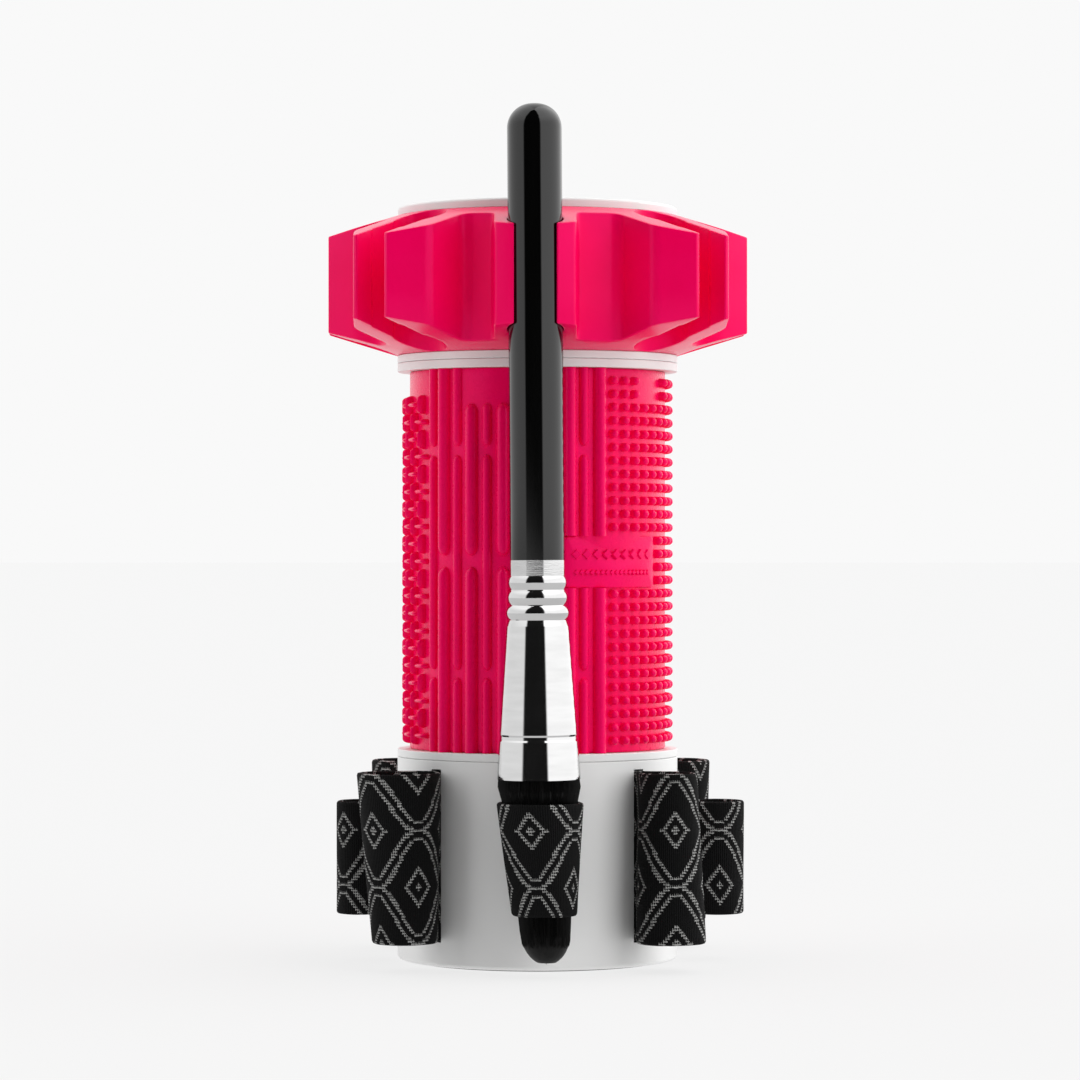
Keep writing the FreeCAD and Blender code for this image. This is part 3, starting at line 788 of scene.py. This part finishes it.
class Loop:
    """A loop's node, direction in degrees, circles (out, across, radius) in millimetres, pattern shift."""

    def __init__(self, name, turn, bottom, top, shift, held="folded"):
        self.node = "loop_" + name
        self.turn = math.radians(turn)
        self.circles = [tuple(n * MM for n in circle) for circle in (bottom, top)]
        self.shift = shift * MM
        self.held = held


LOOPS = (
    Loop("short_front", -90, (43.3, 1.55, 7.2), (43.3, 0.55, 9.5), 2.0, "stretched"),
    Loop("short_right", 0, (40.3, 0.4, 6.7), (40.3, 0, 6.6), 5.0),
    Loop("short_back", 90, (40.0, 0, 6.5), (40.0, 0.3, 6.5), 11.0),
    Loop("short_left", 180, (39.5, 0, 6.3), (39.5, 0.3, 6.1), 3.0),
    Loop("tall_front_right", -45, (41.6, 0, 7.7), (41.0, 0, 6.4), 8.0),
    Loop("tall_back_right", 45, (42.4, -1.0, 8.6), (43.0, -1.5, 9.0), 1.0),
    Loop("tall_back_left", 135, (42.0, 0.4, 8.0), (42.4, 0.8, 8.4), 7.0),
    Loop("tall_front_left", -135, (41.0, -0.4, 7.3), (42.0, -1.2, 9.3), 0.0),
)


def drop_path(circle):
    """Middle line of the band in plan, from behind the wall out round the drop and back."""
    out, across, radius = circle
    radius -= BAND_T / 2
    reach = math.hypot(out - APEX_R, across)
    lean = math.atan2(across, out - APEX_R)
    spread = math.asin(radius / reach)
    sweep = math.pi / 2 + spread
    half = BAND_T / 2 + 0.02 * MM
    points = [(APEX_R - (4 - k) * 0.8 * MM, -half) for k in range(4)]
    first = Vector((out + radius * math.cos(lean - sweep), across + radius * math.sin(lean - sweep)))
    apex = Vector((APEX_R + 0.5 * MM, -half))
    points += [tuple(apex.lerp(first, k / 14)) for k in range(14)]
    points += [(out + radius * math.cos(lean - sweep + 2 * sweep * k / 72),
                across + radius * math.sin(lean - sweep + 2 * sweep * k / 72)) for k in range(73)]
    last = Vector((out + radius * math.cos(lean + sweep), across + radius * math.sin(lean + sweep)))
    apex = Vector((APEX_R + 0.5 * MM, half))
    points += [tuple(last.lerp(apex, k / 14)) for k in range(1, 15)]
    points += [(APEX_R - (k + 1) * 0.8 * MM, half) for k in range(4)]
    return softened([Vector(p) for p in points], 3)


def softened(points, rounds):
    for _ in range(rounds):
        middle = [(a + 2 * b + c) / 4 for a, b, c in zip(points, points[1:], points[2:])]
        points = [points[0]] + middle + [points[-1]]
    return points


def build_loop(loop, seed):
    chance = random.Random(seed)
    bottom, top = low(loop.node).z, high(loop.node).z
    ends = [drop_path(circle) for circle in loop.circles]
    rows = 26
    count = len(ends[0])
    shares = [0.5 - 0.5 * math.cos(math.pi * k / (rows - 1)) for k in range(rows)]
    ring = [(1, t) for t in shares] + [(-1, t) for t in reversed(shares)]
    phases = [chance.uniform(0, TURN) for _ in range(2)]
    verts = []
    uvs = []
    length = [0.0]
    middle_line = [(a + b) / 2 for a, b in zip(*ends)]
    for a, b in zip(middle_line, middle_line[1:]):
        length.append(length[-1] + (b - a).length)
    cos_t, sin_t = math.cos(loop.turn), math.sin(loop.turn)
    for i in range(count):
        for side, share in ring:
            here = ends[0][i].lerp(ends[1][i], share)
            before = ends[0][max(0, i - 1)].lerp(ends[1][max(0, i - 1)], share)
            after = ends[0][min(count - 1, i + 1)].lerp(ends[1][min(count - 1, i + 1)], share)
            way = (after - before).normalized()
            normal = Vector((way.y, -way.x))
            edge = min(share, 1 - share) * (top - bottom)
            thick = BAND_T / 2 * min(1.0, math.sqrt(max(0.0, 1 - (1 - min(1, edge / (0.6 * MM))) ** 2)))
            free = min(1.0, max(0.0, (here.x - APEX_R) / (4 * MM)))
            ripple = 0.10 * MM * free * math.sin(length[i] / (2.3 * MM) + phases[0] + 3 * share)
            place = here + normal * (side * thick + ripple)
            hem = 0.12 * MM * free * math.sin(length[i] / (3.1 * MM) + phases[1])
            z = bottom + share * (top - bottom) + (hem if 0.02 < share < 0.98 else hem * 0.5)
            z = min(max(z, bottom), top)
            verts.append((place.x * cos_t - place.y * sin_t, place.x * sin_t + place.y * cos_t, z))
            uvs.append((length[i] + loop.shift, (share - 0.5) * (top - bottom)))
    n = len(ring)
    faces = [[i * n + j, i * n + (j + 1) % n, (i + 1) * n + (j + 1) % n, (i + 1) * n + j]
             for i in range(count - 1) for j in range(n)]
    faces += [list(range(n)), list(range((count - 1) * n, count * n))]
    name = loop.node.replace("loop", "band")
    band = piece(name, verts, faces, ELASTIC, "base", [loop.node], 60, uvs)
    return band


# ---- brush ----

BUNDLE = (                 # height, radius in millimetres
    (46.0, 8.6), (43.3, 8.6), (42.0, 8.95), (40.5, 8.9), (38.2, 8.1),
    (26.0, 7.0), (13.7, 5.75), (9.0, 5.45), (2.0, 5.1),
)
TIP_ROUND = 6.0 * MM       # height over which the tip rounds off
CORE_SHARE = 0.965         # size of the dark core inside the outer strands
CORE_SHORT = 0.5 * MM      # how far the core ends above the tip
STRANDS = 2600


def bundle_radius(z):
    """Outer radius of the bristles at a height, with their rounded tip. Metres."""
    height = max(z / MM, BUNDLE[-1][0])
    radius = BUNDLE[0][1]
    for (z1, r1), (z0, r0) in zip(BUNDLE, BUNDLE[1:]):
        if z0 <= height <= z1:
            radius = r0 + (r1 - r0) * (height - z0) / (z1 - z0)
    depth = min(1.0, max(0.0, (z - TIP_Z) / TIP_ROUND))
    return radius * MM * math.sqrt(1 - (1 - depth) ** 2)


def strand_end(share):
    """The strands further out end higher, so that the tip is round."""
    return TIP_Z + TIP_ROUND * (1 - math.sqrt(1 - 0.9 * share ** 2))


def build_bristles():
    chance = random.Random(7)
    pile = Pile()
    top = MOUTH_Z + 2 * MM
    low_end = TIP_Z + CORE_SHORT
    core = [(0, top)]
    for k in range(41):
        z = top + (low_end - top) * math.sin(math.pi / 2 * k / 40)
        core.append((bundle_radius(z) * CORE_SHARE, z))
    core.append((0, low_end))
    pile.add(*lathe(core, 64), lambda p: (p[0] + bristle_x(p[2]), p[1] - BRUSH_OUT, p[2]))
    for k in range(STRANDS):
        share = chance.uniform(0.93, 1.0) if k % 3 else math.sqrt(chance.random())
        add_strand(pile, chance, share)
    stands_for = ["brush_bristles"]
    return piece("bristle_bundle", pile.verts, pile.faces, FIBRE, "brush", stands_for, 60)


def add_strand(pile, chance, share):
    turn = chance.uniform(0, TURN)
    start = MOUTH_Z + 1.5 * MM
    end = strand_end(share) + chance.uniform(0.0, 1.2) * MM
    thick = chance.uniform(0.07, 0.11) * MM
    drift = chance.uniform(-0.05, 0.05)
    steps = 12
    verts = []
    for k in range(steps + 1):
        t = k / steps
        z = start + (end - start) * t
        radius = bundle_radius(z) * share
        angle = turn + drift * t
        middle = Vector((radius * math.cos(angle) + bristle_x(z), radius * math.sin(angle) - BRUSH_OUT, z))
        width = thick * (1 - 0.7 * t ** 3)
        for corner in range(3):
            spin = angle + TURN * corner / 3
            verts.append(middle + Vector((width * math.cos(spin), width * math.sin(spin), 0)))
    faces = [[3 * k + c, 3 * k + (c + 1) % 3, 3 * k + 3 + (c + 1) % 3, 3 * k + 3 + c]
             for k in range(steps) for c in range(3)]
    faces += [[2, 1, 0], [3 * steps, 3 * steps + 1, 3 * steps + 2]]
    pile.add(verts, faces)


# ---- studio ----

def build_floor():
    """A plain pale floor that shows only a soft contact shadow."""
    mesh = bpy.data.meshes.new("floor")
    side = 30.0
    corners = [(-side, -side, 0), (side, -side, 0), (side, side, 0), (-side, side, 0)]
    mesh.from_pydata(corners, [], [[0, 1, 2, 3]])
    floor = bpy.data.objects.new("floor", mesh)
    bpy.context.scene.collection.objects.link(floor)
    s = Shader("floor")
    s.set(Roughness=0.9)
    s.bsdf.inputs["Base Color"].default_value = (0.9, 0.9, 0.9, 1)
    s.bsdf.inputs["Specular IOR Level"].default_value = 0.0
    glow = s.node("ShaderNodeEmission")
    glow.inputs["Color"].default_value = (FLOOR_GLOW, FLOOR_GLOW, FLOOR_GLOW, 1)
    mix = s.node("ShaderNodeMixShader")
    mix.inputs["Fac"].default_value = 0.12
    s.link(glow.outputs[0], mix.inputs[1])
    s.link(s.bsdf.outputs[0], mix.inputs[2])
    s.link(mix.outputs[0], s.nodes["Material Output"].inputs["Surface"])
    mesh.materials.append(s.material)


BACKGROUND = 0.947
FLOOR_GLOW = 0.88
LEFT_LIGHT = 1.22
RIGHT_LIGHT = 1.72
BRIGHTEST = 2.0            # the ramp below holds shares of this
OVERHEAD = 1.35            # how much brighter it is above 45 degrees
DARK = 0.012


def build_light():
    """White surroundings, a little weaker on the left, with a dark band behind the camera."""
    world = bpy.data.worlds.new("studio")
    bpy.context.scene.world = world
    world.use_nodes = True
    nodes = world.node_tree.nodes
    links = world.node_tree.links
    place = nodes.new("ShaderNodeTexCoord")
    split = nodes.new("ShaderNodeSeparateXYZ")
    links.new(place.outputs["Generated"], split.inputs[0])
    back = nodes.new("ShaderNodeMath")
    back.operation = "MULTIPLY"
    back.inputs[1].default_value = -1
    links.new(split.outputs["Y"], back.inputs[0])
    angle = nodes.new("ShaderNodeMath")
    angle.operation = "ARCTAN2"
    links.new(split.outputs["X"], angle.inputs[0])
    links.new(back.outputs[0], angle.inputs[1])
    share = nodes.new("ShaderNodeMapRange")
    share.inputs["From Min"].default_value = -math.pi
    share.inputs["From Max"].default_value = math.pi
    links.new(angle.outputs[0], share.inputs["Value"])
    ramp = nodes.new("ShaderNodeValToRGB")
    links.new(share.outputs[0], ramp.inputs[0])
    stops = (
        (-180, BACKGROUND), (-166, BACKGROUND), (-150, LEFT_LIGHT), (-49, LEFT_LIGHT), (-44, DARK),
        (23, DARK), (28, RIGHT_LIGHT), (150, RIGHT_LIGHT), (166, BACKGROUND), (180, BACKGROUND),
    )
    points = ramp.color_ramp.elements
    while len(points) < len(stops):
        points.new(0.5)
    for point, (turn, level) in zip(points, stops):
        point.position = (turn + 180) / 360
        share_of_brightest = level / BRIGHTEST
        point.color = (share_of_brightest, share_of_brightest, share_of_brightest, 1)
    links.new(ramp.outputs[0], nodes["Background"].inputs["Color"])
    overhead = nodes.new("ShaderNodeMapRange")
    overhead.inputs["From Min"].default_value = math.sin(math.radians(20))
    overhead.inputs["From Max"].default_value = math.sin(math.radians(45))
    overhead.inputs["To Min"].default_value = BRIGHTEST
    overhead.inputs["To Max"].default_value = BRIGHTEST * OVERHEAD
    links.new(split.outputs["Z"], overhead.inputs["Value"])
    links.new(overhead.outputs[0], nodes["Background"].inputs["Strength"])


def build_camera():
    """Level view from the front at the height of the mat's middle, through a long lens."""
    data = bpy.data.cameras.new("camera")
    data.lens = 139.2
    data.sensor_width = 36.0
    data.clip_start = 0.05
    camera = bpy.data.objects.new("camera", data)
    camera.location = (0.57 * MM, -0.950, 93.0 * MM)
    camera.rotation_euler = (math.radians(90.137), 0, 0)
    bpy.context.scene.collection.objects.link(camera)
    bpy.context.scene.camera = camera
    bpy.context.scene.view_settings.view_transform = "Standard"


finish_cad_nodes()
build_collar()
build_mat()
for number, loop in enumerate(LOOPS):
    build_loop(loop, number)
build_bristles()
build_floor()
build_light()
build_camera()
